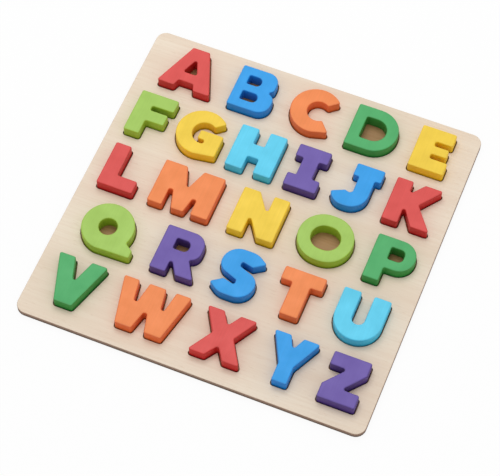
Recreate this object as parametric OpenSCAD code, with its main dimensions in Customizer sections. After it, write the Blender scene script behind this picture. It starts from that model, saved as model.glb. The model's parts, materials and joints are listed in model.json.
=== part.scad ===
// Wooden alphabet puzzle: a flat board with a pocket for each of 26 thick letters.
// The board is two glued sheets. Each letter drops into its own pocket and lifts straight out.
// The origin is at the middle of the underside of the board, with +X to the right of the reader.

/* [Board] */
// Thickness of the back sheet, which is the floor of every pocket
back_t = 3; // [2:0.5:6]
// Thickness of the front sheet, which is the depth of the pockets
recess_t = 3; // [2:0.5:6]
// Plan radius of the corners of the board
board_corner_r = 9; // [2:0.5:20]
// Radius of the sanded outer edges of the board
board_edge_r = 0.8; // [0.3:0.1:1.5]
// Bare strip behind the back row
back_margin = 12.1; // [5:0.1:40]
// Bare strip in front of the front row
front_margin = 15.9; // [5:0.1:40]
// Bare strip to the right of the longest row
right_margin = 11.6; // [5:0.1:40]
// Bare strip between two rows
row_gap = 14.5; // [5:0.1:40]

/* [Letter spacing] */
// Back row, A to E: the left strip, then the gap before each next letter
row_1_gaps = [20.4, 15.6, 15.2, 15.1, 16.2]; // [5:0.1:40]
// Second row, F to K
row_2_gaps = [14, 7.5, 9.8, 11.3, 11, 10.9]; // [5:0.1:40]
// Third row, L to P
row_3_gaps = [14.7, 13.6, 17, 15.2, 15.4]; // [5:0.1:40]
// Fourth row, Q to U
row_4_gaps = [19.5, 18, 14, 16.1, 15.1]; // [5:0.1:40]
// Front row, V to Z
row_5_gaps = [15.2, 14.4, 13.3, 13.8, 11.8]; // [5:0.1:40]

/* [Strokes] */
// Height of a letter from the base line to the cap line
cap_h = 42.8; // [36:0.1:60]
// Thickness of the letters
letter_t = 12; // [8:0.5:20]
// Width of an upright stroke
stem = 14.2; // [11:0.1:17]
// Thickness of a top or bottom bar
bar = 12.6; // [10:0.1:15]
// Height of the slots between the bars of E and F
slot = 4.6; // [4:0.1:6]
// How far the round letters pass the base line and the cap line
overshoot = 1; // [0:0.1:2]
// Plan radius of the outer corners of a letter
corner_r = 1.6; // [1.4:0.1:2.5]
// Plan radius of the inner corners of a letter
inner_r = 1.4; // [1.2:0.1:2]
// Radius of the sanded top edge of a letter
edge_r = 1; // [0.5:0.1:1.2]
// Radius of the round end of the eyes of B, P and R
eye_r = 4.2; // [2:0.1:4.5]
// How far the eye of C and G stands to the right of the middle of its ring
eye_shift = 2.2; // [0:0.1:3]
// Direction of the end of the upper arm of C and G on the outer ring, in degrees
arm_out = 41; // [36:1:46]
// Direction of the end of the upper arm of C and G on the eye, in degrees
arm_in = 51; // [46:1:56]
// Gap between a letter and the wall of its pocket
clearance = 1; // [0.3:0.1:1.2]

/* [Letters A to E] */
// Width of A over its feet
a_w = 48.8; // [42:0.1:60]
// Width of the flat top of A
a_top = 15.6; // [10:0.1:20]
// Width of each foot of A
a_foot = 15.4; // [12:0.1:17]
// Height of the crossbar of A above the base line
a_rise = 6.6; // [4:0.1:10]
// Thickness of the crossbar of A
a_bar = 9.6; // [6:0.1:12]
// Width of the notch of A under its crossbar
a_notch = 13.2; // [8:0.1:15]
// Width of a leg of A beside its eye, measured level
a_leg = 11.9; // [9:0.1:14]
// Width of B over its lower bowl
b_w = 36.8; // [33:0.1:45]
// How far the upper bowl of B stands back from the lower one
b_step = 2.4; // [0:0.1:4]
// Depth of the notch between the bowls of B
b_waist = 7.2; // [4:0.1:8]
// Height of the notch between the bowls of B
b_waist_y = 22.8; // [20:0.1:25]
// Wall to the left of the eyes of B
b_left = 8.9; // [6:0.1:11]
// Wall to the right of the eyes of B
b_right = 13.5; // [10:0.1:15]
// Wall above and below the eyes of B
b_wall = 8.4; // [6:0.1:10]
// Wall between the eyes of B
b_mid = 7.7; // [5:0.1:10]
// How far the tip of the lower arm of C stands back from the right of its ring
c_back = 5; // [2:0.1:7]
// Height of the tip of the lower arm of C
c_tip = 3.4; // [1:0.1:4]
// Wall of C above and below its eye
c_wall = 12.7; // [10:0.1:14]
// Width of D
d_w = 41.3; // [37:0.1:50]
// Wall round the eye of D
d_wall = 10.4; // [8:0.1:13]
// Width of E over its bottom bar
e_w = 31.4; // [28:0.1:40]
// Width of the upright of E
e_stem = 15.4; // [12:0.1:18]
// How far the middle bar of E stands back from the bottom one
e_mid_step = 2.6; // [0:0.1:5]
// How far the top bar of E stands back from the bottom one
e_top_step = 1.2; // [0:0.1:5]

/* [Letters F to K] */
// Width of F over its top bar
f_w = 33.8; // [30:0.1:42]
// How far the middle bar of F stands back from the top one
f_step = 3.1; // [0:0.1:6]
// Thickness of the middle bar of F
f_bar = 11; // [7:0.1:13]
// How far the right side of G stands back from the right of its ring
g_back = 3.3; // [0.5:0.1:6]
// Height of the lower right corner of G
g_heel = 1.9; // [0.5:0.1:4]
// Wall of G above and below its eye
g_wall = 11.9; // [10:0.1:13]
// Top of the tongue of G above the middle of its ring
g_lift = 2.2; // [0:0.1:4]
// Height of the slot under the free end of the tongue of G
g_slot = 3.6; // [3:0.1:5]
// How far the tongue of G reaches to the left of the middle of its eye
g_reach = 3.9; // [2:0.1:5]
// Length of the part of the tongue of G that is cut free below
g_free = 6.5; // [5:0.1:8]
// Width of H
h_w = 41.2; // [36:0.1:50]
// Gap between the uprights of H
h_gap = 10; // [7:0.1:14]
// Height of the crossbar of H above the base line
h_rise = 14; // [10:0.1:18]
// Thickness of the crossbar of H
h_bar = 13.4; // [9:0.1:16]
// Width of I over its bars
i_w = 28.9; // [24:0.1:36]
// Width of J
j_w = 36.6; // [33:0.1:44]
// Width of the top bar of J
j_bar_w = 24.8; // [21:0.1:28]
// How far the top bar of J reaches past its upright on the right
j_serif = 5.1; // [3:0.1:7]
// Height of the tip of the hook of J
j_tip = 9; // [7:0.1:11]
// How far the bottom of the hook of J is drawn in from its tip
j_tuck = 3.2; // [1:0.1:5]
// Height of the inner corner of the hook of J
j_crook = 14.2; // [12:0.1:16]
// Height of the bottom of the inside of the hook of J
j_inside = 11.8; // [10:0.1:13]
// Radius of the inside of the hook of J
j_inside_r = 2.8; // [1.5:0.1:4]
// Length of the end face of the hook of J, measured level
j_end = 11; // [8:0.1:12]
// Width of K over its foot
k_w = 41.9; // [37:0.1:50]
// How far the top of the arm of K stands back from its foot
k_step = 0.9; // [0:0.1:3]
// Width of the arm and of the leg of K, measured level
k_arm = 16.6; // [13:0.1:18]
// Height of the joint of the arm and the leg of K, on the right
k_fork = 22.3; // [19:0.1:25]
// Distance of that joint from the left of K
k_fork_x = 25.4; // [23:0.1:28]
// Height of the top of the lower notch of K
k_low = 17.6; // [14:0.1:20]
// Height of the bottom of the upper notch of K
k_high = 29.8; // [26:0.1:32]

/* [Letters L to P] */
// Width of L
l_w = 32.3; // [28:0.1:40]
// Width of M
m_w = 54; // [47:0.1:65]
// Width of the left leg of M
m_left_leg = 13.3; // [11:0.1:16]
// Width of the right leg of M
m_right_leg = 15.2; // [11:0.1:17]
// Width of each top of M
m_top = 19.4; // [15:0.1:22]
// Height of the bottom of the upper notch of M
m_dip = 21.6; // [16:0.1:26]
// Width of the middle foot of M
m_foot = 11; // [8:0.1:13]
// Height of the left lower notch of M
m_notch_h = 17; // [10:0.1:20]
// How much lower the right lower notch of M ends
m_notch_drop = 2.6; // [0:0.1:5]
// Width of the lower notches of M at their top
m_notch = 3.4; // [3:0.1:5]
// Width of N
n_w = 40.9; // [37:0.1:50]
// Height of the two notches of N
n_notch_h = 18.6; // [14:0.1:21]
// Width of O
o_w = 47.4; // [44:0.1:56]
// Wall of O
o_wall = 11.2; // [8:0.1:14]
// Width of P
p_w = 36.6; // [33:0.1:42]
// Height of the bowl of P above the base line
p_rise = 13.4; // [9:0.1:17]
// Wall above and below the eye of P
p_wall = 8.8; // [6:0.1:10]
// Wall to the right of the eye of P
p_right = 10; // [7:0.1:12]

/* [Letters Q to U] */
// How far the tail of Q reaches past the right of its ring
q_out = 5.2; // [3:0.1:8]
// Height of the end of the tail of Q
q_tail = 7.2; // [5:0.1:10]
// Wall of the ring of Q
q_wall = 14.6; // [10:0.1:17]
// Direction from the middle of Q to the notch above its tail, in degrees
q_notch_a = -24; // [-30:1:-18]
// Width of R over its foot
r_w = 38.6; // [35:0.1:44]
// Width of R over its bowl
r_bowl_w = 35.8; // [33:0.1:40]
// Width of the leg of R at the base line
r_leg = 15.6; // [12:0.1:17]
// Height of the joint of the bowl and the leg of R, on the right
r_fork = 17; // [14:0.1:20]
// Distance of that joint from the left of R
r_fork_x = 28.6; // [26:0.1:31]
// Height of the top of the lower notch of R
r_notch_h = 14.2; // [11:0.1:16]
// Wall on each side of the eye of R
r_wall = 11.6; // [9:0.1:13]
// Wall above the eye of R
r_top = 9.8; // [7:0.1:11]
// Height of the bottom of the eye of R
r_eye = 22.8; // [21:0.1:26]
// Width of S over its bowls
s_w = 34.6; // [32:0.1:42]
// How far the arms of S reach past its bowls
s_reach = 2; // [0:0.1:3]
// Depth of the tips of the arms of S from the cap line or the base line
s_tip = 6; // [4:0.1:8]
// Level distance from the side of S to where its arm begins to fall
s_arm = 8; // [6:0.1:11]
// Radius of the bowls of S at the cap line and the base line
s_bowl_r = 15.5; // [12:0.1:17]
// Radius of the bowls of S at the middle
s_hip_r = 11; // [8:0.1:13]
// How far each slot of S is cut past the middle of the letter
s_slot_reach = 0.8; // [0:0.1:2]
// How far the spine of S falls from the middle to the end of a slot
s_fall = 6.6; // [5:0.1:8]
// Height of the slots of S at their ends
s_slot = 4.4; // [4:0.1:6]
// How far the slots of S rise from their end to their mouth
s_lift = 2.4; // [1:0.1:3]
// Level distance of the mouths of the slots of S from the side
s_mouth = 8; // [6:0.1:10]
// Width of T
t_w = 36; // [31:0.1:44]
// Width of the upright of T
t_stem = 15.7; // [12:0.1:18]
// Width of U
u_w = 40.4; // [36:0.1:48]
// Gap between the uprights of U
u_gap = 10.8; // [8:0.1:14]
// Wall of U below its gap
u_wall = 13.6; // [11:0.1:16]

/* [Letters V to Z] */
// Width of V
v_w = 43.2; // [38:0.1:52]
// Width of each top of V
v_top = 14.2; // [11:0.1:16]
// Width of the foot of V
v_foot = 15.8; // [12:0.1:18]
// Height of the bottom of the notch of V
v_dip = 20; // [16:0.1:24]
// Width of W
w_w = 59.2; // [54:0.1:70]
// Width of the left and the right top of W
w_top = 13.4; // [11:0.1:15]
// Width of the middle top of W
w_peak = 14.3; // [12:0.1:16]
// Width of each foot of W
w_foot = 14.4; // [12:0.1:16]
// How far each foot of W stands in from its side
w_inset = 9.6; // [8:0.1:11]
// Height of the bottom of the upper notches of W
w_dip = 24; // [20:0.1:28]
// Height of the top of the lower notch of W
w_notch_h = 16.4; // [12:0.1:19]
// Width of the ends of the notches of W
w_notch = 2.9; // [2.8:0.1:4]
// Width of X over its feet
x_w = 44.6; // [40:0.1:52]
// How far each top of X stands in from its foot
x_step = 0.5; // [0:0.1:3]
// Width of each stroke end of X
x_end = 14.6; // [12:0.1:16]
// Depth of the upper and the lower notch of X
x_notch = 11.4; // [9:0.1:13]
// Depth of the side notches of X
x_waist = 13; // [11:0.1:14]
// Width of Y
y_w = 39.3; // [35:0.1:48]
// Width of each top of Y
y_top = 14.2; // [11:0.1:16]
// Width of the upright of Y
y_stem = 13; // [11:0.1:15]
// Height of the bottom of the notch of Y
y_dip = 31; // [27:0.1:34]
// Height of the shoulders of Y
y_fork = 16.3; // [12:0.1:20]
// Width of Z
z_w = 31.8; // [28:0.1:40]
// Length of the free end of each bar of Z
z_bar = 14.8; // [12:0.1:16]

/* [Hidden] */
// Largest gap between a true arc and the chords that stand for it
sag = 0.08;
// How far the cutter of a sanded edge passes the faces of its piece
reach = 0.25;
// Least plan radius left on the inner line of a sanded edge
inner_least = 0.25;
// Largest share of a side that the roundings at its ends may take up
side_share = 0.98;

// Paint colours
red = "#DC5E5A";
orange = "#F0925A";
yellow = "#F4D058";
lime = "#A7CB6A";
green = "#5DB06F";
sky = "#6BD1F0";
blue = "#42A2EA";
violet = "#7361AC";
birch = "#E4D2BF";

function flat(p) = [p.x, p.y];
function unit(v) = v / norm(v);
function item(list, i) = list[(i + len(list)) % len(list)];
function total(list, n) = n < 1 ? 0 : list[n - 1] + total(list, n - 1);

// An outline is a list of corners [x, y, radius], anticlockwise.
// Its straight sides join the corners, and each corner is rounded to its radius.
function side(q, i) = flat(item(q, i + 1)) - flat(item(q, i));
function turn(q, i) =
    let (a = side(q, i - 1), b = side(q, i))
    atan2(cross(a, b), a * b);

// Length of a side that the rounding of a corner takes up
function used(q, i) = item(q, i).z * tan(abs(turn(q, i)) / 2);
// A radius is kept unless the roundings at the two ends of a side would meet
function fitted(q, i) =
    let (
        before = used(q, i - 1) + used(q, i),
        after = used(q, i) + used(q, i + 1),
        share_before = norm(side(q, i - 1)) / max(before, sag),
        share_after = norm(side(q, i)) / max(after, sag)
    )
    item(q, i).z * min(1, side_share * share_before, side_share * share_after);

// Points of one rounded corner, on the outline grown outwards by grow
function corner(q, i, grow) =
    let (
        r = fitted(q, i),
        angle = turn(q, i),
        way = angle > 0 ? 1 : -1,
        ahead = unit(side(q, i - 1)),
        left = [-ahead.y, ahead.x],
        start = flat(q[i]) - ahead * r * tan(abs(angle) / 2),
        middle = start + left * r * way,
        first = atan2(-left.y * way, -left.x * way),
        step = 2 * acos(1 - min(sag / max(r, sag), 0.5)),
        steps = max(1, ceil(abs(angle) / step))
    )
    [for (k = [0:steps]) middle + (r + way * grow) * dir(first + angle * k / steps)];

// A corner of no radius, as on an arc or an inner corner that grew sharp, moves along its mitre
function mitre(q, i, grow) =
    let (
        a = unit(side(q, i - 1)),
        b = unit(side(q, i)),
        out = [a.y + b.y, -a.x - b.x]
    )
    flat(q[i]) + out * grow / (1 + a * b);

// Radius that is left of a corner on the grown outline
function grown(q, i, grow) = fitted(q, i) + (turn(q, i) > 0 ? grow : -grow);
function trace(q, grow = 0) =
    [for (i = [0:len(q) - 1])
        each q[i].z > 0 && grown(q, i, grow) > sag ? corner(q, i, grow) : [mitre(q, i, grow)]];

// Radius of a sanded edge, kept below the tightest corner that it has to go round
function sanded(q, r, inward) =
    let (corners = [for (i = [0:len(q) - 1]) if (q[i].z > 0 && inward * turn(q, i) > 0) fitted(q, i)])
    min(concat([r], [for (c = corners) c - inner_least]));

// Arcs, mirror images and half turns of outlines
function dir(a) = [cos(a), sin(a)];
function polar(middle, r, a, round_r) =
    let (p = middle + r * dir(a))
    [p.x, p.y, round_r];
function arc(middle, r, from, to) =
    let (steps = ceil(abs(to - from) / (2 * acos(1 - sag / r))))
    [for (k = [1:steps - 1]) polar(middle, r, from + (to - from) * k / steps, 0)];
function tangent_angle(middle, r, p) =
    let (v = p - middle)
    atan2(v.y, v.x) - acos(r / norm(v));
function mirror_image(half, w) =
    [for (i = [len(half) - 1:-1:0]) [w - half[i].x, half[i].y, half[i].z]];
function mirrored(half, w) = concat(half, mirror_image(half, w));
function half_turned(half, w) =
    concat(half, [for (p = half) [w - p.x, cap_h - p.y, p.z]]);
function box(x0, y0, x1, y1, left_r, right_r) =
    [[x0, y0, left_r], [x1, y0, right_r], [x1, y1, right_r], [x0, y1, left_r]];

// A to E
a_slope = (a_w - a_top) / 2 / cap_h;
a_eye_y = a_rise + a_bar;
a_outline = mirrored([
    [(a_w - a_top) / 2, cap_h, corner_r],
    [0, 0, corner_r],
    [a_foot, 0, corner_r],
    [(a_w - a_notch) / 2, a_rise, inner_r]
], a_w);
a_eye = [
    [a_leg + a_slope * a_eye_y, a_eye_y, inner_r],
    [a_w - a_leg - a_slope * a_eye_y, a_eye_y, inner_r],
    [a_w / 2, (a_w / 2 - a_leg) / a_slope, inner_r]
];

b_eye_h = (cap_h - 2 * b_wall - b_mid) / 2;
b_outline = [
    [0, 0, corner_r],
    [b_w, 0, b_waist_y / 2],
    [b_w, b_waist_y - b_waist / 2, b_waist],
    [b_w - b_waist, b_waist_y, inner_r],
    [b_w - b_step, b_waist_y + (b_waist - b_step) / 2, b_waist - b_step],
    [b_w - b_step, cap_h, (cap_h - b_waist_y) / 2],
    [0, cap_h, corner_r]
];
b_low_eye = box(b_left, b_wall, b_w - b_right, b_wall + b_eye_h, inner_r, eye_r);
b_top_eye = box(b_left, cap_h - b_wall - b_eye_h, b_w - b_step - b_right, cap_h - b_wall, inner_r, eye_r);

// C, G and Q are cut from the same ring
ring_r = cap_h / 2 + overshoot;
ring_middle = [ring_r, cap_h / 2];
eye_middle = ring_middle + [eye_shift, 0];
c_w = 2 * ring_r - c_back;
c_eye_r = ring_r - c_wall;
c_outline = concat(
    [polar(ring_middle, ring_r, arm_out, corner_r)],
    arc(ring_middle, ring_r, arm_out, 360 + tangent_angle(ring_middle, ring_r, [c_w, c_tip])),
    [[c_w, c_tip, corner_r]],
    [polar(eye_middle, c_eye_r, 360 - arm_in, corner_r)],
    arc(eye_middle, c_eye_r, 360 - arm_in, arm_in),
    [polar(eye_middle, c_eye_r, arm_in, corner_r)]
);

d_outline = box(0, 0, d_w, cap_h, corner_r, cap_h / 2);
d_eye = box(d_wall, d_wall, d_w - d_wall, cap_h - d_wall, corner_r, cap_h / 2 - d_wall);

e_outline = [
    [0, 0, corner_r],
    [e_w, 0, corner_r],
    [e_w, bar, corner_r],
    [e_stem, bar, inner_r],
    [e_stem, bar + slot, inner_r],
    [e_w - e_mid_step, bar + slot, corner_r],
    [e_w - e_mid_step, cap_h - bar - slot, corner_r],
    [e_stem, cap_h - bar - slot, inner_r],
    [e_stem, cap_h - bar, inner_r],
    [e_w - e_top_step, cap_h - bar, corner_r],
    [e_w - e_top_step, cap_h, corner_r],
    [0, cap_h, corner_r]
];

// F to K
f_arm_y = cap_h - bar - slot;
f_outline = [
    [0, 0, corner_r],
    [stem, 0, corner_r],
    [stem, f_arm_y - f_bar, inner_r],
    [f_w - f_step, f_arm_y - f_bar, corner_r],
    [f_w - f_step, f_arm_y, corner_r],
    [stem, f_arm_y, inner_r],
    [stem, cap_h - bar, inner_r],
    [f_w, cap_h - bar, corner_r],
    [f_w, cap_h, corner_r],
    [0, cap_h, corner_r]
];

g_w = 2 * ring_r - g_back;
g_eye_r = ring_r - g_wall;
g_end_x = eye_middle.x - g_reach;
g_free_x = g_end_x + g_free;
g_floor_a = 360 - acos((g_free_x - eye_middle.x) / g_eye_r);
g_rise = ring_middle.y + g_lift;
g_under = eye_middle.y + g_eye_r * sin(g_floor_a) + g_slot;
g_outline = concat(
    [polar(ring_middle, ring_r, arm_out, corner_r)],
    arc(ring_middle, ring_r, arm_out, 360 + tangent_angle(ring_middle, ring_r, [g_w, g_heel])),
    [[g_w, g_heel, corner_r]],
    [[g_w, g_rise, corner_r]],
    [[g_end_x, g_rise, corner_r]],
    [[g_end_x, g_under, corner_r]],
    [[g_free_x, g_under, inner_r]],
    [polar(eye_middle, g_eye_r, g_floor_a, inner_r)],
    arc(eye_middle, g_eye_r, g_floor_a, arm_in),
    [polar(eye_middle, g_eye_r, arm_in, corner_r)]
);

h_stem = (h_w - h_gap) / 2;
h_outline = mirrored([
    [h_stem, h_rise + h_bar, inner_r],
    [h_stem, cap_h, corner_r],
    [0, cap_h, corner_r],
    [0, 0, corner_r],
    [h_stem, 0, corner_r],
    [h_stem, h_rise, inner_r]
], h_w);

i_side = (i_w - stem) / 2;
i_outline = mirrored([
    [0, cap_h, corner_r],
    [0, cap_h - bar, corner_r],
    [i_side, cap_h - bar, inner_r],
    [i_side, bar, inner_r],
    [0, bar, corner_r],
    [0, 0, corner_r]
], i_w);

j_stem_x = j_w - j_serif;
j_outline = [
    [0, j_tip, corner_r],
    [j_tuck, -overshoot, j_stem_x / 2],
    [j_stem_x, -overshoot, j_stem_x / 2],
    [j_stem_x, cap_h - bar, inner_r],
    [j_w, cap_h - bar, corner_r],
    [j_w, cap_h, corner_r],
    [j_w - j_bar_w, cap_h, corner_r],
    [j_w - j_bar_w, cap_h - bar, corner_r],
    [j_stem_x - stem, cap_h - bar, inner_r],
    [j_stem_x - stem, j_inside, j_inside_r],
    [j_end, j_crook, corner_r]
];

k_outline = [
    [0, 0, corner_r],
    [stem, 0, corner_r],
    [stem, k_low, inner_r],
    [k_w - k_arm, 0, corner_r],
    [k_w, 0, corner_r],
    [k_fork_x, k_fork, inner_r],
    [k_w - k_step, cap_h, corner_r],
    [k_w - k_step - k_arm, cap_h, corner_r],
    [stem, k_high, inner_r],
    [stem, cap_h, corner_r],
    [0, cap_h, corner_r]
];

// L to P
l_outline = [
    [0, 0, corner_r],
    [l_w, 0, corner_r],
    [l_w, bar, corner_r],
    [stem, bar, inner_r],
    [stem, cap_h, corner_r],
    [0, cap_h, corner_r]
];

function m_half(leg, notch_h) = [
    [m_top, cap_h, corner_r],
    [0, cap_h, corner_r],
    [0, 0, corner_r],
    [leg, 0, corner_r],
    [leg, notch_h, inner_r],
    [leg + m_notch, notch_h, inner_r],
    [(m_w - m_foot) / 2, 0, corner_r]
];
m_outline = concat(
    [[m_w / 2, m_dip, inner_r]],
    m_half(m_left_leg, m_notch_h),
    mirror_image(m_half(m_right_leg, m_notch_h - m_notch_drop), m_w)
);

n_outline = half_turned([
    [0, 0, corner_r],
    [stem, 0, corner_r],
    [stem, n_notch_h, inner_r],
    [n_w - stem, 0, corner_r],
    [n_w, 0, corner_r]
], n_w);

o_outline = box(0, -overshoot, o_w, cap_h + overshoot, ring_r, ring_r);
o_eye = box(o_wall, o_wall - overshoot, o_w - o_wall, cap_h + overshoot - o_wall, ring_r, ring_r);

p_bowl_h = cap_h - p_rise;
p_outline = [
    [0, 0, corner_r],
    [stem, 0, corner_r],
    [stem, p_rise, inner_r],
    [p_w, p_rise, p_bowl_h / 2],
    [p_w, cap_h, p_bowl_h / 2],
    [0, cap_h, corner_r]
];
p_eye = box(stem, p_rise + p_wall, p_w - p_right, cap_h - p_wall, inner_r, eye_r);

// Q to U
q_w = 2 * ring_r + q_out;
q_notch = polar(ring_middle, ring_r, q_notch_a, inner_r);
q_outline = concat(
    [[q_w, 0, corner_r]],
    [[q_w, q_tail, corner_r]],
    [q_notch],
    arc(ring_middle, ring_r, q_notch_a, 360 + tangent_angle(ring_middle, ring_r, [q_w, 0]))
);
q_eye_r = ring_r - q_wall;
q_eye = concat([polar(ring_middle, q_eye_r, 0, 0)], arc(ring_middle, q_eye_r, 0, 360));

r_outline = [
    [0, 0, corner_r],
    [stem, 0, corner_r],
    [stem, r_notch_h, inner_r],
    [r_w - r_leg, 0, corner_r],
    [r_w, 0, corner_r],
    [r_fork_x, r_fork, inner_r],
    [r_bowl_w, (r_fork + r_eye) / 2, r_wall],
    [r_bowl_w, cap_h, r_wall],
    [0, cap_h, corner_r]
];
r_eye_box = box(r_wall, r_eye, r_bowl_w - r_wall, cap_h - r_top, inner_r, eye_r);

// S is one half, turned round its middle for the other
s_mid = cap_h / 2;
s_slot_x = s_w / 2 + s_slot_reach;
s_outline = half_turned([
    [s_w + s_reach, cap_h - s_tip, corner_r],
    [s_w - s_arm, cap_h + overshoot, s_bowl_r],
    [0, cap_h + overshoot, s_bowl_r],
    [0, s_mid, s_hip_r],
    [s_slot_x, s_mid - s_fall, inner_r],
    [s_slot_x, s_mid - s_fall - s_slot, inner_r],
    [s_mouth, s_mid - s_fall - s_slot + s_lift, corner_r]
], s_w);

t_side = (t_w - t_stem) / 2;
t_outline = mirrored([
    [0, cap_h, corner_r],
    [0, cap_h - bar, corner_r],
    [t_side, cap_h - bar, inner_r],
    [t_side, 0, corner_r]
], t_w);

u_stem = (u_w - u_gap) / 2;
u_outline = mirrored([
    [u_stem, u_wall, u_gap / 2],
    [u_stem, cap_h, corner_r],
    [0, cap_h, corner_r],
    [0, -overshoot, u_w / 2]
], u_w);

// V to Z
v_outline = concat([[v_w / 2, v_dip, inner_r]], mirrored([
    [v_top, cap_h, corner_r],
    [0, cap_h, corner_r],
    [(v_w - v_foot) / 2, 0, corner_r]
], v_w));

w_notch_x = (w_top + (w_w - w_peak) / 2) / 2;
w_outline = mirrored([
    [(w_w - w_peak) / 2, cap_h, corner_r],
    [w_notch_x + w_notch / 2, w_dip, inner_r],
    [w_notch_x - w_notch / 2, w_dip, inner_r],
    [w_top, cap_h, corner_r],
    [0, cap_h, corner_r],
    [w_inset, 0, corner_r],
    [w_inset + w_foot, 0, corner_r],
    [(w_w - w_notch) / 2, w_notch_h, inner_r]
], w_w);

x_half = [
    [x_step + x_end, cap_h, corner_r],
    [x_step, cap_h, corner_r],
    [x_waist, cap_h / 2, inner_r],
    [0, 0, corner_r],
    [x_end, 0, corner_r]
];
x_outline = concat(
    [[x_w / 2, cap_h - x_notch, inner_r]],
    x_half,
    [[x_w / 2, x_notch, inner_r]],
    mirror_image(x_half, x_w)
);

y_side = (y_w - y_stem) / 2;
y_outline = concat([[y_w / 2, y_dip, inner_r]], mirrored([
    [y_top, cap_h, corner_r],
    [0, cap_h, corner_r],
    [y_side, y_fork, corner_r],
    [y_side, 0, corner_r]
], y_w));

z_outline = half_turned([
    [0, 0, corner_r],
    [z_w, 0, corner_r],
    [z_w, bar, corner_r],
    [z_w - z_bar, bar, inner_r],
    [z_w, cap_h - bar, corner_r]
], z_w);

// Every row: the widths of its letters, their gaps, and their outlines
row_widths = [
    [a_w, b_w, c_w, d_w, e_w],
    [f_w, g_w, h_w, i_w, j_w, k_w],
    [l_w, m_w, n_w, o_w, p_w],
    [q_w, r_w, s_w, t_w, u_w],
    [v_w, w_w, x_w, y_w, z_w]
];
row_gaps = [row_1_gaps, row_2_gaps, row_3_gaps, row_4_gaps, row_5_gaps];
row_outlines = [
    [a_outline, b_outline, c_outline, d_outline, e_outline],
    [f_outline, g_outline, h_outline, i_outline, j_outline, k_outline],
    [l_outline, m_outline, n_outline, o_outline, p_outline],
    [q_outline, r_outline, s_outline, t_outline, u_outline],
    [v_outline, w_outline, x_outline, y_outline, z_outline]
];
rows = len(row_widths);

function row_end(i) = total(row_gaps[i], len(row_gaps[i])) + total(row_widths[i], len(row_widths[i]));
board_w = right_margin + max([for (i = [0:rows - 1]) row_end(i)]);
board_d = back_margin + rows * cap_h + (rows - 1) * row_gap + front_margin;
board_outline = box(-board_w / 2, -board_d / 2, board_w / 2, board_d / 2, board_corner_r, board_corner_r);

// Left end of the base line of a letter, from its row and its place in the row
function spot(row, place) = [
    -board_w / 2 + total(row_gaps[row], place + 1) + total(row_widths[row], place),
    board_d / 2 - back_margin - cap_h - row * (cap_h + row_gap)
];

// Closed ring that takes the corner off an edge at the height z.
// Its inner side is two flats that meet the faces of the piece where the round would touch them.
// inward is 1 where the piece lies inside the outline and -1 where it lies outside.
// upward is 1 for a top edge and -1 for a bottom edge.
module edge_cutter(q, r, z, inward = 1, upward = 1) {
    edge = sanded(q, r, inward);
    soft = edge * (1 - cos(45));
    section = [[0, -edge], [-soft, -soft], [-edge, 0], [reach, reach]];
    loops = [for (s = section) trace(q, inward * s.x)];
    n = len(loops[0]);
    m = len(section);
    points = [for (j = [0:m - 1]) for (p = loops[j]) [p.x, p.y, z + upward * section[j].y]];
    quads = [for (j = [0:m - 1]) for (i = [0:n - 1])
        let (a = j * n, b = (j + 1) % m * n, k = (i + 1) % n)
        inward * upward < 0 ? [a + i, b + i, b + k, a + k] : [a + k, b + k, b + i, a + i]];
    polyhedron(points, quads);
}

// A letter with its eyes cut through and its top edges sanded round
module letter(row, place, outline, eyes = []) {
    translate(concat(spot(row, place), [back_t])) {
        difference() {
            linear_extrude(letter_t) {
                difference() {
                    polygon(trace(outline));
                    for (eye = eyes) {
                        polygon(trace(eye));
                    }
                }
            }
            edge_cutter(outline, edge_r, letter_t);
            for (eye = eyes) {
                edge_cutter(eye, edge_r, letter_t, -1);
            }
        }
    }
}

module back_board() {
    color(birch) {
        difference() {
            linear_extrude(back_t) {
                polygon(trace(board_outline));
            }
            edge_cutter(board_outline, board_edge_r, 0, 1, -1);
        }
    }
}

module recess_board() {
    color(birch) {
        translate([0, 0, back_t]) {
            difference() {
                linear_extrude(recess_t) {
                    difference() {
                        polygon(trace(board_outline));
                        pockets();
                    }
                }
                edge_cutter(board_outline, board_edge_r, recess_t);
            }
        }
    }
}

// Plan of all the pockets: each letter's outline, grown by the clearance
module pockets() {
    for (row = [0:rows - 1]) {
        for (place = [0:len(row_outlines[row]) - 1]) {
            translate(spot(row, place)) {
                polygon(trace(row_outlines[row][place], clearance));
            }
        }
    }
}

module letter_a() { color(red) letter(0, 0, a_outline, [a_eye]); }
module letter_b() { color(blue) letter(0, 1, b_outline, [b_low_eye, b_top_eye]); }
module letter_c() { color(orange) letter(0, 2, c_outline); }
module letter_d() { color(green) letter(0, 3, d_outline, [d_eye]); }
module letter_e() { color(yellow) letter(0, 4, e_outline); }
module letter_f() { color(lime) letter(1, 0, f_outline); }
module letter_g() { color(yellow) letter(1, 1, g_outline); }
module letter_h() { color(sky) letter(1, 2, h_outline); }
module letter_i() { color(violet) letter(1, 3, i_outline); }
module letter_j() { color(blue) letter(1, 4, j_outline); }
module letter_k() { color(red) letter(1, 5, k_outline); }
module letter_l() { color(red) letter(2, 0, l_outline); }
module letter_m() { color(orange) letter(2, 1, m_outline); }
module letter_n() { color(yellow) letter(2, 2, n_outline); }
module letter_o() { color(lime) letter(2, 3, o_outline, [o_eye]); }
module letter_p() { color(green) letter(2, 4, p_outline, [p_eye]); }
module letter_q() { color(lime) letter(3, 0, q_outline, [q_eye]); }
module letter_r() { color(violet) letter(3, 1, r_outline, [r_eye_box]); }
module letter_s() { color(blue) letter(3, 2, s_outline); }
module letter_t() { color(orange) letter(3, 3, t_outline); }
module letter_u() { color(sky) letter(3, 4, u_outline); }
module letter_v() { color(green) letter(4, 0, v_outline); }
module letter_w() { color(orange) letter(4, 1, w_outline); }
module letter_x() { color(red) letter(4, 2, x_outline); }
module letter_y() { color(blue) letter(4, 3, y_outline); }
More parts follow.
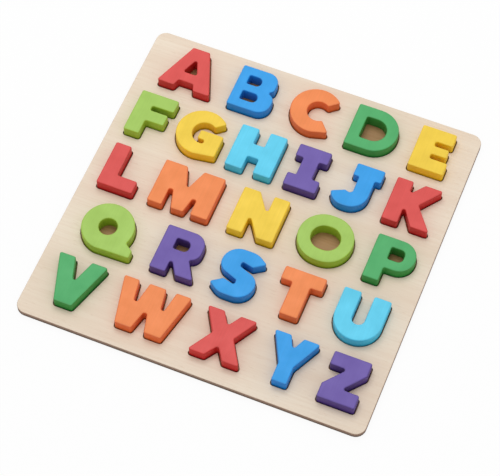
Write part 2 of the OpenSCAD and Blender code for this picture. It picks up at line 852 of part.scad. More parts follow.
module letter_z() { color(violet) letter(4, 4, z_outline); }

back_board();
recess_board();
letter_a();
letter_b();
letter_c();
letter_d();
letter_e();
letter_f();
letter_g();
letter_h();
letter_i();
letter_j();
letter_k();
letter_l();
letter_m();
letter_n();
letter_o();
letter_p();
letter_q();
letter_r();
letter_s();
letter_t();
letter_u();
letter_v();
letter_w();
letter_x();
letter_y();
letter_z();
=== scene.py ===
"""Looks of a wooden alphabet puzzle: a birch plywood board with 26 painted letters in its pockets."""

import json
import logging
import math
from dataclasses import dataclass
from enum import Enum
from typing import Any, Iterable

import bmesh
import bpy
from mathutils import Matrix, Vector

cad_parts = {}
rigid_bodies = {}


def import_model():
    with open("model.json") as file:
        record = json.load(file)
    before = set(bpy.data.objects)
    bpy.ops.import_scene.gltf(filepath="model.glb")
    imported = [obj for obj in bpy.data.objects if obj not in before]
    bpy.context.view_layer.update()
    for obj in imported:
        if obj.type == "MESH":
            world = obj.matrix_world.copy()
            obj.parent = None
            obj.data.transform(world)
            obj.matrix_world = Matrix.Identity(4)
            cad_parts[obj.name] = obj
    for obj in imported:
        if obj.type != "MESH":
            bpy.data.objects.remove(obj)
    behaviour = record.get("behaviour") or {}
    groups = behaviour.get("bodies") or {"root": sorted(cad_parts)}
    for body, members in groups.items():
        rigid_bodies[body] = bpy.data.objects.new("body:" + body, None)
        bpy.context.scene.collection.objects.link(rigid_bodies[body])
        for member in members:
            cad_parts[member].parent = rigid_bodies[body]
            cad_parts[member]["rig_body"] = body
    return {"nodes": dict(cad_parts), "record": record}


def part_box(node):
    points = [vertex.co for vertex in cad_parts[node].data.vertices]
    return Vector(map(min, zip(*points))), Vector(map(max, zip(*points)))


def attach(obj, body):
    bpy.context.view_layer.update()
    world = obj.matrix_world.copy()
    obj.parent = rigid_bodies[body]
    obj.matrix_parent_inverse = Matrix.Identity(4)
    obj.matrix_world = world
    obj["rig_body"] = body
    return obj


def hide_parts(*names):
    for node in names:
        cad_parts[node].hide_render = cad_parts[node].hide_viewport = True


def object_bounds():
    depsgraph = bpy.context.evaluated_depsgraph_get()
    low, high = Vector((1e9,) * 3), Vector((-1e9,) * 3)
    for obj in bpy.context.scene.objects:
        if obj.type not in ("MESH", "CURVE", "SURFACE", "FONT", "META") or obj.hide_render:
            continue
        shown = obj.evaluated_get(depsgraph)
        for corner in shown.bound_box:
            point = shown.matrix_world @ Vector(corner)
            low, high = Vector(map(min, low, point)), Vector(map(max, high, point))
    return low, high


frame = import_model()
CAD_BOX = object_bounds()

log = logging.getLogger("alphabet_puzzle")

# One millimetre in scene units
MM = 0.001

# Point attributes of a letter: 1 along its sanded edges, for a pale line that is partly rubbed-off coat and
# partly painted highlight, and 1 on its walls, for a darker wall colour that is painted shade
EDGE = "sanded_edge"
PAINTED_SHADE_WALL = "painted_shade_wall"

# Distance in millimetres at which two points of a CAD mesh are one, and angle in degrees up to which two of
# its faces are one
MERGE_GAP = 0.002
FLAT_TURN = 1.0

# Most that a level edge rises, and most that it lies off its height, in millimetres
LEVEL_RISE = 0.01
HEIGHT_SLACK = 0.05

# Number of faces across a rounded edge
ROUND_FACES = 2

# Range that most values of a noise pattern lie in
NOISE_RANGE = {"From Min": 0.3, "From Max": 0.7}

# Sockets of a colour Mix node: its share, its two colours and its result
SHARE, FIRST, SECOND, MIXED = 0, 6, 7, 2

WHITE = "#FFFFFF"


def linear(colour: str) -> tuple[float, float, float, float]:
    """Turns an sRGB hex colour to linear light.

    Args:
        colour: The colour as "#RRGGBB".

    Returns:
        Red, green and blue, and an alpha of 1.
    """
    parts = [int(colour[i:i + 2], 16) / 255 for i in (1, 3, 5)]
    red, green, blue = (p / 12.92 if p <= 0.04045 else ((p + 0.055) / 1.055) ** 2.4 for p in parts)
    return red, green, blue, 1.0


def per(size: float) -> float:
    """Gives the pattern scale that draws a feature of this size in millimetres."""
    return 1 / (size * MM)


def add_node(
    tree: bpy.types.NodeTree,
    kind: str,
    inputs: dict[str | int, Any] | None = None,
    stops: Iterable[tuple[float, str]] = (),
    **settings: Any,
) -> bpy.types.Node:
    """Adds a shader node with its settings and links.

    Args:
        tree: The node tree that it goes into.
        kind: The node's type.
        inputs: Values for its sockets, or the output sockets that feed them.
        stops: Places and colours on a colour ramp.
        settings: The node's own properties.

    Returns:
        The new node.
    """
    node = tree.nodes.new(kind)
    for name, value in settings.items():
        setattr(node, name, value)
    for i, (place, colour) in enumerate(stops):
        ramp = node.color_ramp.elements
        stop = ramp[i] if i < len(ramp) else ramp.new(place)
        stop.position = place
        stop.color = linear(colour)
    for socket, value in (inputs or {}).items():
        if isinstance(value, bpy.types.NodeSocket):
            tree.links.new(value, node.inputs[socket])
        else:
            node.inputs[socket].default_value = value
    return node


class Grain(Enum):
    """Direction that the wood grain runs in."""

    ALONG_X = (1.0, 0.0, 0.0)
    ALONG_Y = (0.0, 1.0, 0.0)

    def scale(self, length: float, width: float) -> tuple[float, float, float]:
        """Gives the pattern scale of streaks.

        Args:
            length: Length of a streak in millimetres.
            width: Width of a streak in millimetres.

        Returns:
            The scale along each axis.
        """
        return tuple(per(length) if along else per(width) for along in self.value)


@dataclass(frozen=True)
class Finish:
    """A surface finish: it makes one material and gives the same one each time after that.

    Attributes:
        name: Name of the material.
    """

    name: str

    def material(self) -> bpy.types.Material:
        """Makes the material, or finds the one made before.

        Returns:
            The material.
        """
        found = bpy.data.materials.get(self.name)
        if found:
            return found
        made = bpy.data.materials.new(self.name)
        made.use_nodes = True
        tree = made.node_tree
        tree.nodes.clear()
        shader = add_node(tree, "ShaderNodeBsdfPrincipled", self.constants())
        place = add_node(tree, "ShaderNodeTexCoord").outputs["Object"]
        self.detail(tree, shader, place)
        add_node(tree, "ShaderNodeOutputMaterial", {"Surface": shader.outputs[0]})
        return made

    def constants(self) -> dict[str, Any]:
        """Gives the shader values that are the same all over the surface."""
        return {}

    def detail(self, tree: bpy.types.NodeTree, shader: bpy.types.Node, place: bpy.types.NodeSocket) -> None:
        """Adds the colour, roughness and relief that vary over the surface.

        Args:
            tree: The material's node tree.
            shader: The shader that they feed.
            place: Object coordinates of the surface.
        """


@dataclass(frozen=True)
class SatinPaint(Finish):
    """Two sprayed coats of satin acrylic paint on sanded beech.

    The eye gets an even colour with a low sheen, faint clouding from the spray and the ghost of the wood's
    grain in the film. The walls take a deeper, darker copy of the coat's colour as painted shade, and a paler
    line along the sanded edges is partly rubbed-off coat and partly painted highlight.

    Attributes:
        coat: Colour of the coat on the top face.
        wall: Colour of the coat on the walls, a deeper, darker copy of the top's colour that is painted
            shade.
        thin: Colour of the pale line along an edge, partly rubbed-off coat and partly painted highlight.
        cloud: Size of the clouds in millimetres.
        cloud_shade: Brightness of the coat in the palest and the darkest cloud.
        streak: Length and width of the grain in millimetres, drawn coarser than the real pores, which are
            about 0.2 mm wide, so that it shows.
        streak_shade: Brightness of the coat in the palest and the darkest streak.
        worn: Least and most share of the pale edge colour along an edge.
        ior: Refractive index of acrylic.
        gloss: Specular level of the film, half of the shader's own because the paint is satin.
        rough: Least and most roughness of the film.
        peel: Size of the spray texture in millimetres, drawn coarser than the real 0.5 mm so that it shows.
        grain_share: Height of the grain as a share of the spray texture's.
        relief: Height of the spray texture in millimetres.
        bump: Strength of the relief.
    """

    coat: str
    wall: str
    thin: str
    cloud: float = 16.0
    cloud_shade: tuple[float, float] = (1.05, 0.95)
    streak: tuple[float, float] = (24.0, 1.1)
    streak_shade: tuple[float, float] = (1.02, 0.97)
    worn: tuple[float, float] = (0.0, 0.4)
    ior: float = 1.48
    gloss: float = 0.25
    rough: tuple[float, float] = (0.36, 0.5)
    peel: float = 1.0
    grain_share: float = 0.6
    relief: float = 0.05
    bump: float = 0.35

    def constants(self) -> dict[str, Any]:
        """Gives the low gloss of the paint film."""
        return {"IOR": self.ior, "Specular IOR Level": self.gloss}

    def detail(self, tree: bpy.types.NodeTree, shader: bpy.types.Node, place: bpy.types.NodeSocket) -> None:
        """Adds the clouds, the grain ghost, the painted shade of the walls, the pale edge line of rubbed-off
        coat and painted highlight, and the spray texture.

        Args:
            tree: The material's node tree.
            shader: The shader that they feed.
            place: Object coordinates of the surface.
        """
        cloud = add_node(tree, "ShaderNodeTexNoise", {
            "Vector": place, "Scale": per(self.cloud), "Detail": 4.0})
        along = add_node(tree, "ShaderNodeMapping", {
            "Vector": place, "Scale": Grain.ALONG_Y.scale(*self.streak)})
        grain = add_node(tree, "ShaderNodeTexNoise", {
            "Vector": along.outputs[0], "Scale": 1.0, "Detail": 3.0})
        peel = add_node(tree, "ShaderNodeTexNoise", {
            "Vector": place, "Scale": per(self.peel), "Detail": 2.0})
        edge = add_node(tree, "ShaderNodeAttribute", attribute_name=EDGE)
        # The walls take painted shade: a deeper, darker copy of the coat's colour
        wall = add_node(tree, "ShaderNodeAttribute", attribute_name=PAINTED_SHADE_WALL)

        clouded = add_node(tree, "ShaderNodeMapRange", {
            **NOISE_RANGE, "Value": cloud.outputs[0],
            "To Min": self.cloud_shade[0], "To Max": self.cloud_shade[1]})
        ghost = add_node(tree, "ShaderNodeMapRange", {
            **NOISE_RANGE, "Value": grain.outputs[0],
            "To Min": self.streak_shade[0], "To Max": self.streak_shade[1]})
        value = add_node(tree, "ShaderNodeMath", {
            0: clouded.outputs[0], 1: ghost.outputs[0]}, operation="MULTIPLY")
        # Pale line along the sanded edges, partly rubbed-off coat and partly painted highlight
        rub_and_highlight_amount = add_node(tree, "ShaderNodeMapRange", {
            **NOISE_RANGE, "Value": cloud.outputs[0], "To Min": self.worn[0], "To Max": self.worn[1]})
        rub_and_highlight_mask = add_node(tree, "ShaderNodeMath", {
            0: rub_and_highlight_amount.outputs[0], 1: edge.outputs["Fac"]}, operation="MULTIPLY")

        colour = add_node(tree, "ShaderNodeMix", {
            SHARE: wall.outputs["Fac"], FIRST: linear(self.coat), SECOND: linear(self.wall)},
            data_type="RGBA")
        colour = add_node(tree, "ShaderNodeMix", {
            SHARE: rub_and_highlight_mask.outputs[0], FIRST: colour.outputs[MIXED], SECOND: linear(self.thin)},
            data_type="RGBA")
        colour = add_node(tree, "ShaderNodeHueSaturation", {
            "Value": value.outputs[0], "Color": colour.outputs[MIXED]})
        tree.links.new(colour.outputs[0], shader.inputs["Base Color"])

        rough = add_node(tree, "ShaderNodeMapRange", {
            **NOISE_RANGE, "Value": cloud.outputs[0], "To Min": self.rough[0], "To Max": self.rough[1]})
        tree.links.new(rough.outputs[0], shader.inputs["Roughness"])

        height = add_node(tree, "ShaderNodeMath", {
            0: grain.outputs[0], 1: self.grain_share, 2: peel.outputs[0]}, operation="MULTIPLY_ADD")
        bump = add_node(tree, "ShaderNodeBump", {
            "Strength": self.bump, "Distance": self.relief * MM, "Height": height.outputs[0]})
        tree.links.new(bump.outputs[0], shader.inputs["Normal"])


class Paint(Enum):
    """The eight paints of the letters, by the record's material slots."""

    # Each paint gives the top's colour, a darker wall colour that is painted shade, and a pale edge colour
    # that is partly rubbed-off coat and partly painted highlight
    red_paint = SatinPaint("red_satin_paint", "#DB524E", "#C62726", "#E88F88")
    orange_paint = SatinPaint("orange_satin_paint", "#F18B50", "#E76A33", "#F7B990")
    yellow_paint = SatinPaint("yellow_satin_paint", "#F2CE44", "#F2C520", "#F9E192")
    lime_paint = SatinPaint("lime_satin_paint", "#A3C85E", "#98BA2F", "#C5DD98")
    green_paint = SatinPaint("green_satin_paint", "#4FAC68", "#348F3C", "#95CBA0")
    sky_paint = SatinPaint("sky_satin_paint", "#60D0F0", "#45C2E7", "#A4E5F7")
    blue_paint = SatinPaint("blue_satin_paint", "#319FE9", "#1982D7", "#8AC6F1")
    violet_paint = SatinPaint("violet_satin_paint", "#6E5AA8", "#4E3781", "#A094C8")


@dataclass(frozen=True)
class BirchVeneer(Finish):
    """Rotary-cut birch face of plywood, sanded and left with a thin matt seal.

    The eye gets a pale warm beige with very broad, soft bands along the grain, fine streaks, short darker
    flecks, and almost no shine.

    Attributes:
        pale: Colour of the early wood.
        warm: Colour of the late wood.
        fleck: Colour of the flecks.
        band: Length and width of the broad bands in millimetres.
        band_share: Most share of the late wood's colour in a band.
        streak: Length and width of the fine streaks in millimetres, drawn coarser than the real 0.4 mm so
            that they show.
        streak_range: Noise values at which a streak begins and at which it is full.
        streak_share: Most share of the late wood's colour in a streak.
        mark: Length and width of the flecks in millimetres.
        mark_range: Noise values at which a fleck begins and at which it is full.
        mark_share: Most share of the flecks' colour in a fleck.
        waver: How much the figure strays from a straight grain.
        rough: Least and most roughness of the seal.
        relief: Height of the grain in millimetres.
        bump: Strength of the relief.
    """

    pale: str
    warm: str
    fleck: str
    band: tuple[float, float] = (260.0, 30.0)
    band_share: float = 0.7
    streak: tuple[float, float] = (45.0, 1.6)
    streak_range: tuple[float, float] = (0.4, 0.75)
    streak_share: float = 0.4
    mark: tuple[float, float] = (7.0, 1.0)
    mark_range: tuple[float, float] = (0.64, 0.78)
    mark_share: float = 0.35
    waver: float = 0.4
    rough: tuple[float, float] = (0.5, 0.66)
    relief: float = 0.04
    bump: float = 0.4

    def detail(self, tree: bpy.types.NodeTree, shader: bpy.types.Node, place: bpy.types.NodeSocket) -> None:
        """Adds the bands, streaks and flecks of the veneer.

        Args:
            tree: The material's node tree.
            shader: The shader that they feed.
            place: Object coordinates of the surface.
        """
        fields = []
        for size, detail in ((self.band, 3.0), (self.streak, 4.0), (self.mark, 1.0)):
            along = add_node(tree, "ShaderNodeMapping", {
                "Vector": place, "Scale": Grain.ALONG_X.scale(*size)})
            fields.append(add_node(tree, "ShaderNodeTexNoise", {
                "Vector": along.outputs[0], "Scale": 1.0, "Detail": detail, "Distortion": self.waver}))
        band, streak, mark = (f.outputs[0] for f in fields)

        banded = add_node(tree, "ShaderNodeMapRange", {
            **NOISE_RANGE, "Value": band, "To Max": self.band_share})
        streaked = add_node(tree, "ShaderNodeMapRange", {
            "Value": streak, "From Min": self.streak_range[0], "From Max": self.streak_range[1],
            "To Max": self.streak_share})
        marked = add_node(tree, "ShaderNodeMapRange", {
            "Value": mark, "From Min": self.mark_range[0], "From Max": self.mark_range[1],
            "To Max": self.mark_share})

        colour = add_node(tree, "ShaderNodeMix", {
            SHARE: banded.outputs[0], FIRST: linear(self.pale), SECOND: linear(self.warm)},
            data_type="RGBA")
        colour = add_node(tree, "ShaderNodeMix", {
            SHARE: streaked.outputs[0], FIRST: colour.outputs[MIXED], SECOND: linear(self.warm)},
            data_type="RGBA")
        colour = add_node(tree, "ShaderNodeMix", {
            SHARE: marked.outputs[0], FIRST: colour.outputs[MIXED], SECOND: linear(self.fleck)},
            data_type="RGBA")
        tree.links.new(colour.outputs[MIXED], shader.inputs["Base Color"])

        rough = add_node(tree, "ShaderNodeMapRange", {
            **NOISE_RANGE, "Value": streak, "To Min": self.rough[0], "To Max": self.rough[1]})
        tree.links.new(rough.outputs[0], shader.inputs["Roughness"])
        bump = add_node(tree, "ShaderNodeBump", {
            "Strength": self.bump, "Distance": self.relief * MM, "Height": streak})
        tree.links.new(bump.outputs[0], shader.inputs["Normal"])


@dataclass(frozen=True)
class PlyEdge(Finish):
    """Sawn and sanded edge of three-ply birch sheet.

    The eye gets thin level layers: two pale face plies, a browner core of end grain, and dark glue lines
    between them.

    Attributes:
        face_ply: Colour of the two face plies.
        core: Colour of the core ply.
        glue: Colour of the glue lines.
        sheet: Thickness of one sheet in millimetres.
        skin: Depth of the two inner glue lines below the sheet's faces, as a share of its thickness.
        line: Width over which an inner glue line fades to each side, as a share of the sheet's thickness.
        seam: Width over which the dark line at each of the sheet's faces fades, as a share of its thickness.
        pore: Size of the end grain in millimetres.
        pore_range: Noise values at which a pore begins and at which it is full.
        pore_share: Most share of the core's colour in a pore.
        smear: Length and width of the saw's streaks in millimetres.
        smear_range: Noise values at which a streak begins and at which it is full.
        smear_share: Most share of the glue's colour in a streak.
        rough: Least and most roughness.
        relief: Height of the grain in millimetres.
        bump: Strength of the relief.
    """

    face_ply: str
    core: str
    glue: str
    sheet: float = 3.0
    skin: float = 0.28
    line: float = 0.04
    seam: float = 0.05
    pore: float = 0.9
    pore_range: tuple[float, float] = (0.45, 0.75)
    pore_share: float = 0.5
    smear: tuple[float, float] = (14.0, 0.8)
    smear_range: tuple[float, float] = (0.4, 0.75)
    smear_share: float = 0.35
    rough: tuple[float, float] = (0.62, 0.8)
    relief: float = 0.06
    bump: float = 0.5

    def detail(self, tree: bpy.types.NodeTree, shader: bpy.types.Node, place: bpy.types.NodeSocket) -> None:
        """Adds the layers of the plywood and the grain of its edge.

        Args:
            tree: The material's node tree.
            shader: The shader that they feed.
            place: Object coordinates of the surface.
        """
        axes = add_node(tree, "ShaderNodeSeparateXYZ", {0: place})
        layer = add_node(tree, "ShaderNodeMath", {
            0: axes.outputs["Z"], 1: self.sheet * MM}, operation="MODULO")
        share = add_node(tree, "ShaderNodeMapRange", {
            "Value": layer.outputs[0], "From Max": self.sheet * MM})
        low, high = self.skin, 1 - self.skin
        plies = add_node(tree, "ShaderNodeValToRGB", {0: share.outputs[0]}, (
            (0.0, self.glue), (self.seam, self.face_ply), (low - self.line, self.face_ply),
            (low, self.glue), (low + self.line, self.core), (high - self.line, self.core),
            (high, self.glue), (high + self.line, self.face_ply), (1 - self.seam, self.face_ply),
            (1.0, self.glue)))
        pore = add_node(tree, "ShaderNodeTexNoise", {
            "Vector": place, "Scale": per(self.pore), "Detail": 3.0})
        along = add_node(tree, "ShaderNodeMapping", {
            "Vector": place, "Scale": Grain.ALONG_X.scale(*self.smear)})
        smear = add_node(tree, "ShaderNodeTexNoise", {
            "Vector": along.outputs[0], "Scale": 1.0, "Detail": 3.0})

        grained = add_node(tree, "ShaderNodeMapRange", {
            "Value": pore.outputs[0], "From Min": self.pore_range[0], "From Max": self.pore_range[1],
            "To Max": self.pore_share})
        smeared = add_node(tree, "ShaderNodeMapRange", {
            "Value": smear.outputs[0], "From Min": self.smear_range[0], "From Max": self.smear_range[1],
            "To Max": self.smear_share})
        colour = add_node(tree, "ShaderNodeMix", {
            SHARE: grained.outputs[0], FIRST: plies.outputs[0], SECOND: linear(self.core)},
            data_type="RGBA")
        colour = add_node(tree, "ShaderNodeMix", {
            SHARE: smeared.outputs[0], FIRST: colour.outputs[MIXED], SECOND: linear(self.glue)},
            data_type="RGBA")
        tree.links.new(colour.outputs[MIXED], shader.inputs["Base Color"])

        rough = add_node(tree, "ShaderNodeMapRange", {
            **NOISE_RANGE, "Value": pore.outputs[0], "To Min": self.rough[0], "To Max": self.rough[1]})
        tree.links.new(rough.outputs[0], shader.inputs["Roughness"])
        bump = add_node(tree, "ShaderNodeBump", {
            "Strength": self.bump, "Distance": self.relief * MM, "Height": pore.outputs[0]})
        tree.links.new(bump.outputs[0], shader.inputs["Normal"])


class Wood(Enum):
    """The bare wood of the board."""

    FACE = BirchVeneer("birch_face_veneer", "#EDDFCB", "#E0C9B2", "#CBAE90")
    # The backing veneer is darker partly as a browner backing wood and partly as painted shade for the pocket
    # floors
    BACK = BirchVeneer("birch_backing_veneer", "#B68A5C", "#A37647", "#865D36")
    FACE_EDGE = PlyEdge("birch_face_ply_edge", "#BC9B85", "#987762", "#6E5241")
    # The backing edge is darker partly as a browner backing wood and partly as painted shade for the contact
    # shadow along the board's lower edge
    BACK_EDGE = PlyEdge("birch_backing_ply_edge", "#7C614B", "#624833", "#463324")


def merged_copy(node: str) -> bmesh.types.BMesh:
    """Copies a CAD node's mesh with its loose triangles merged to whole faces.

    Args:
        node: Name of the node.

    Returns:
        The copy, which the caller finishes and frees.
    """
    mesh = bmesh.new()
    mesh.from_mesh(frame["nodes"][node].data)
    bmesh.ops.remove_doubles(mesh, verts=mesh.verts, dist=MERGE_GAP * MM)
    bmesh.ops.dissolve_limit(mesh, angle_limit=math.radians(FLAT_TURN), verts=mesh.verts, edges=mesh.edges)
    return mesh


def level_edges(
    mesh: bmesh.types.BMesh,
    low: float,
    high: float,
    least_turn: float,
) -> list[bmesh.types.BMEdge]:
    """Finds the level edges between two heights at which the surface turns.

    Args:
        mesh: The mesh to look in.
        low: Lowest height in metres.
        high: Highest height in metres.
        least_turn: Least angle between the two faces in degrees.

    Returns:
        The edges.
    """
    found = []
    for edge in mesh.edges:
        ends = [v.co.z for v in edge.verts]
        if not edge.is_manifold or max(ends) - min(ends) > LEVEL_RISE * MM:
            continue
        if low <= ends[0] <= high and edge.calc_face_angle() >= math.radians(least_turn):
            found.append(edge)
    return found


def soften(mesh: bmesh.types.BMesh, edges: list[bmesh.types.BMEdge], width: float) -> None:
    """Rounds edges off.

    Args:
        mesh: The mesh that they belong to.
        edges: The edges.
        width: Width of the rounding on each face in metres.
    """
    bmesh.ops.bevel(mesh, geom=edges, offset=width, offset_type="OFFSET", segments=ROUND_FACES, profile=0.5,
                    affect="EDGES", clamp_overlap=True, loop_slide=True, material=-1)


def make_piece(mesh: bmesh.types.BMesh, name: str) -> bpy.types.Object:
    """Turns a finished bmesh to a smooth-shaded object whose large faces stay flat.

    Args:
        mesh: The bmesh, which is freed.
        name: Name of the object.

    Returns:
        The object, linked to the scene.
    """
    for face in mesh.faces:
        face.smooth = True
    data = bpy.data.meshes.new(name)
    mesh.to_mesh(data)
    mesh.free()
    piece = bpy.data.objects.new(name, data)
    bpy.context.scene.collection.objects.link(piece)
    normals = piece.modifiers.new("flat_faces", "WEIGHTED_NORMAL")
    normals.keep_sharp = True
    return piece


def ride_and_replace(piece: bpy.types.Object, node: str) -> None:
    """Puts a piece in the place of its CAD node.

    Args:
        piece: The piece.
        node: The node that it stands for.
    """
    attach(piece, frame["nodes"][node]["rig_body"])
    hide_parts(node)


@dataclass
class Letter:
    """One painted wooden letter.

    Attributes:
        node: The CAD node that it follows.
        slot: The record's material slot of its paint.
        top_round: Height in millimetres over which its top edge is sanded.
        wall_depth: Depth in millimetres below its top at which the walls' painted shade is full.
        flat_break: Width in millimetres by which the lines between the sanded edge's flats are rounded off.
        flat_turn: Least angle in degrees between two of those flats.
        foot_break: Width in millimetres of the broken edge round its underside.
        foot_turn: Least angle in degrees between the underside and a wall.
    """

    node: str
    slot: str
    top_round: float = 1.0
    wall_depth: float = 0.4
    flat_break: float = 0.2
    flat_turn: float = 12.0
    foot_break: float = 0.35
    foot_turn: float = 60.0

    def build(self) -> bpy.types.Object:
        """Makes the letter's mesh.

        Returns:
            The letter.
        """
        low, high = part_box(self.node)
        mesh = merged_copy(self.node)
        slack = HEIGHT_SLACK * MM
        rim = level_edges(mesh, high.z - self.top_round * MM - slack, high.z + slack, self.flat_turn)
        soften(mesh, rim, self.flat_break * MM)
        foot = level_edges(mesh, low.z - slack, low.z + slack, self.foot_turn)
        soften(mesh, foot, self.foot_break * MM)
        piece = make_piece(mesh, self.node.replace("letter", "painted_letter"))
        self.mark_surfaces(piece.data, high.z)
        return piece

    def mark_surfaces(self, data: bpy.types.Mesh, top: float) -> None:
        """Writes the attributes that tell the paint where the sanded edge and the walls are, for the pale
        edge line of rubbed-off coat and painted highlight and for the walls' painted shade.

        Args:
            data: The letter's mesh.
            top: Height of its top face in metres.
        """
        edge = data.attributes.new(EDGE, "FLOAT", "POINT")
        wall = data.attributes.new(PAINTED_SHADE_WALL, "FLOAT", "POINT")
        middle = self.top_round * (1 - math.cos(math.radians(45)))
        for vertex in data.vertices:
            depth = (top - vertex.co.z) / MM
            # Pale edge line, partly rubbed-off coat and partly painted highlight, strongest halfway round the
            # sanded edge
            edge.data[vertex.index].value = max(0.0, 1 - abs(depth - middle) / middle)
            # Painted shade on the walls, full from this depth below the top
            wall.data[vertex.index].value = min(1.0, depth / self.wall_depth)

    def dress(self, piece: bpy.types.Object) -> None:
        """Paints the letter and puts it in the place of its node.

        Args:
            piece: The letter.
        """
        piece.data.materials.append(Paint[self.slot].value.material())
        ride_and_replace(piece, self.node)


@dataclass
class Sheet:
    """One plywood sheet of the board.

    Attributes:
        node: The CAD node that it follows.
        face: Finish of its two faces.
        edge: Finish of its sawn edges.
        slot: The record's material slot of the board; not used.
        rim_break: Width in millimetres of the broken edge round its pockets.
        rim_turn: Least angle in degrees between the upper face and a pocket's wall.
        flat_limit: Least upward or downward part of a face's normal on the two faces.
    """

    node: str
    face: BirchVeneer
    edge: PlyEdge
    slot: str = "birch_ply"
    rim_break: float = 0.25
    rim_turn: float = 80.0
    flat_limit: float = 0.5

    def build(self) -> bpy.types.Object:
        """Makes the sheet's mesh.

        Returns:
            The sheet.
        """
        _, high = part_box(self.node)
        mesh = merged_copy(self.node)
        slack = HEIGHT_SLACK * MM
        rim = level_edges(mesh, high.z - slack, high.z + slack, self.rim_turn)
        soften(mesh, rim, self.rim_break * MM)
        for face in mesh.faces:
            face.material_index = 0 if abs(face.normal.z) > self.flat_limit else 1
        return make_piece(mesh, self.node.replace("board", "sheet"))

    def dress(self, piece: bpy.types.Object) -> None:
        """Gives the sheet its wood and puts it in the place of its node.

        Args:
            piece: The sheet.
        """
        piece.data.materials.append(self.face.material())
        piece.data.materials.append(self.edge.material())
        ride_and_replace(piece, self.node)


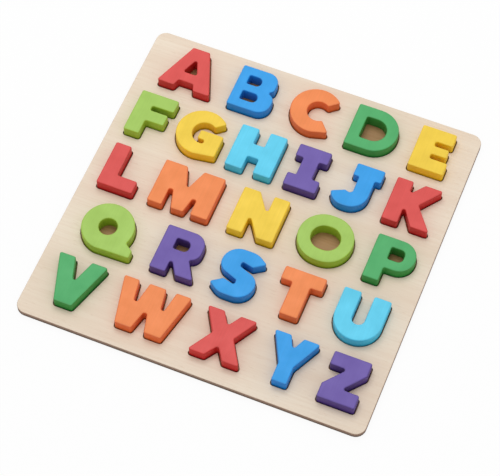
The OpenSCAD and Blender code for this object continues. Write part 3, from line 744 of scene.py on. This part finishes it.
@dataclass
class Studio:
    """A white table under soft light, seen as in the photograph.

    Attributes:
        azimuth: Direction of the camera round the object in degrees, from the front towards the right.
        elevation: Height of the camera above the table in degrees.
        roll: Turn of the camera about its own line of sight in degrees.
        distance: Distance of the camera from its target in metres.
        lens: Focal length in millimetres.
        sensor: Width of the camera's picture in millimetres.
        target: The point that the camera looks at, in millimetres.
        sky: Brightness of the white room round the table.
        lamp_place: Place of the lamp in metres.
        lamp_size: Width of the lamp in metres.
        lamp_power: Power of the lamp in watts.
        table_width: Width of the table in metres.
        table_gap: Height in millimetres by which the object stands clear of the table.
        table_colour: Colour of the table in the light that falls on it.
        table_glow: Share of the table's colour that is plain white to the camera.
    """

    azimuth: float = 21.1702
    elevation: float = 59.8807
    roll: float = 0.8821
    distance: float = 1.529153
    lens: float = 132.93
    sensor: float = 36.0
    target: tuple[float, float, float] = (0.924, -13.626, 0.0)
    sky: float = 0.7
    lamp_place: tuple[float, float, float] = (-0.22, 0.4, 1.15)
    lamp_size: float = 0.8
    lamp_power: float = 5.0
    table_width: float = 6.0
    table_gap: float = 0.05
    table_colour: str = "#F4F4F4"
    table_glow: float = 0.93

    def set_camera(self) -> None:
        """Makes the camera and puts it where the photograph was taken from."""
        turn, rise, tilt = (math.radians(a) for a in (self.azimuth, self.elevation, self.roll))
        back = Vector((math.sin(turn) * math.cos(rise), -math.cos(turn) * math.cos(rise), math.sin(rise)))
        right = Vector((math.cos(turn), math.sin(turn), 0.0))
        up = back.cross(right)
        right, up = right * math.cos(tilt) + up * math.sin(tilt), up * math.cos(tilt) - right * math.sin(tilt)
        data = bpy.data.cameras.new("camera")
        data.lens = self.lens
        data.sensor_width = self.sensor
        data.sensor_fit = "HORIZONTAL"
        camera = bpy.data.objects.new("camera", data)
        axes = Matrix((right, up, back)).transposed().to_4x4()
        camera.matrix_world = Matrix.Translation(Vector(self.target) * MM + back * self.distance) @ axes
        bpy.context.scene.collection.objects.link(camera)
        bpy.context.scene.camera = camera

    def hang_lamp(self) -> None:
        """Hangs the soft lamp up and points it at the middle of the board."""
        data = bpy.data.lights.new("soft_lamp", "AREA")
        data.shape = "DISK"
        data.size = self.lamp_size
        data.energy = self.lamp_power
        lamp = bpy.data.objects.new("soft_lamp", data)
        lamp.location = self.lamp_place
        lamp.rotation_euler = Vector(self.lamp_place).to_track_quat("Z", "Y").to_euler()
        bpy.context.scene.collection.objects.link(lamp)

    def seen(self, tree: bpy.types.NodeTree) -> bpy.types.NodeSocket:
        """Finds the rays that show a surface to the eye, straight or through gloss and glass.

        Args:
            tree: The node tree that asks.

        Returns:
            A socket that is 1 for those rays and 0 for the light that falls on the object.
        """
        path = add_node(tree, "ShaderNodeLightPath")
        shown = add_node(tree, "ShaderNodeMath", {
            0: path.outputs["Is Camera Ray"], 1: path.outputs["Is Glossy Ray"]}, operation="MAXIMUM")
        return add_node(tree, "ShaderNodeMath", {
            0: shown.outputs[0], 1: path.outputs["Is Transmission Ray"]}, operation="MAXIMUM").outputs[0]

    def fill_room(self) -> None:
        """Fills the room with even white light, and shows it plain white."""
        world = bpy.data.worlds.new("white_room")
        world.use_nodes = True
        tree = world.node_tree
        tree.nodes.clear()
        strength = add_node(tree, "ShaderNodeMapRange", {
            "Value": self.seen(tree), "To Min": self.sky, "To Max": 1.0})
        room = add_node(tree, "ShaderNodeBackground", {
            "Color": linear(WHITE), "Strength": strength.outputs[0]})
        add_node(tree, "ShaderNodeOutputWorld", {"Surface": room.outputs[0]})
        bpy.context.scene.world = world

    def lay_table(self) -> None:
        """Lays the white table top, which keeps a faint shadow of the object."""
        mesh = bmesh.new()
        bmesh.ops.create_grid(mesh, x_segments=1, y_segments=1, size=self.table_width / 2)
        bmesh.ops.translate(mesh, verts=mesh.verts, vec=(0.0, 0.0, CAD_BOX[0].z - self.table_gap * MM))
        data = bpy.data.meshes.new("table_top")
        mesh.to_mesh(data)
        mesh.free()
        table = bpy.data.objects.new("table_top", data)
        bpy.context.scene.collection.objects.link(table)

        white = bpy.data.materials.new("white_table")
        white.use_nodes = True
        tree = white.node_tree
        tree.nodes.clear()
        glow = add_node(tree, "ShaderNodeMath", {
            0: self.seen(tree), 1: self.table_glow}, operation="MULTIPLY")
        matt = add_node(tree, "ShaderNodeBsdfDiffuse", {"Color": linear(self.table_colour)})
        plain = add_node(tree, "ShaderNodeEmission", {"Color": linear(WHITE)})
        both = add_node(tree, "ShaderNodeMixShader", {
            0: glow.outputs[0], 1: matt.outputs[0], 2: plain.outputs[0]})
        add_node(tree, "ShaderNodeOutputMaterial", {"Surface": both.outputs[0]})
        data.materials.append(white)


def main() -> None:
    """Builds the board, the letters and the studio."""
    logging.basicConfig(level=logging.INFO, format="%(name)s: %(message)s")
    bpy.context.scene.view_settings.view_transform = "Standard"

    studio = Studio()
    studio.set_camera()
    studio.hang_lamp()
    studio.fill_room()
    studio.lay_table()

    slots = {part["node"]: part["material_slot"] for part in frame["record"]["subparts"]}
    board = [
        Sheet("back_board", Wood.BACK.value, Wood.BACK_EDGE.value),
        Sheet("recess_board", Wood.FACE.value, Wood.FACE_EDGE.value),
    ]
    letters = [Letter(node, slots[node]) for node in sorted(slots) if node.startswith("letter_")]
    for part in board + letters:
        part.dress(part.build())


if __name__ == "__main__":
    main()
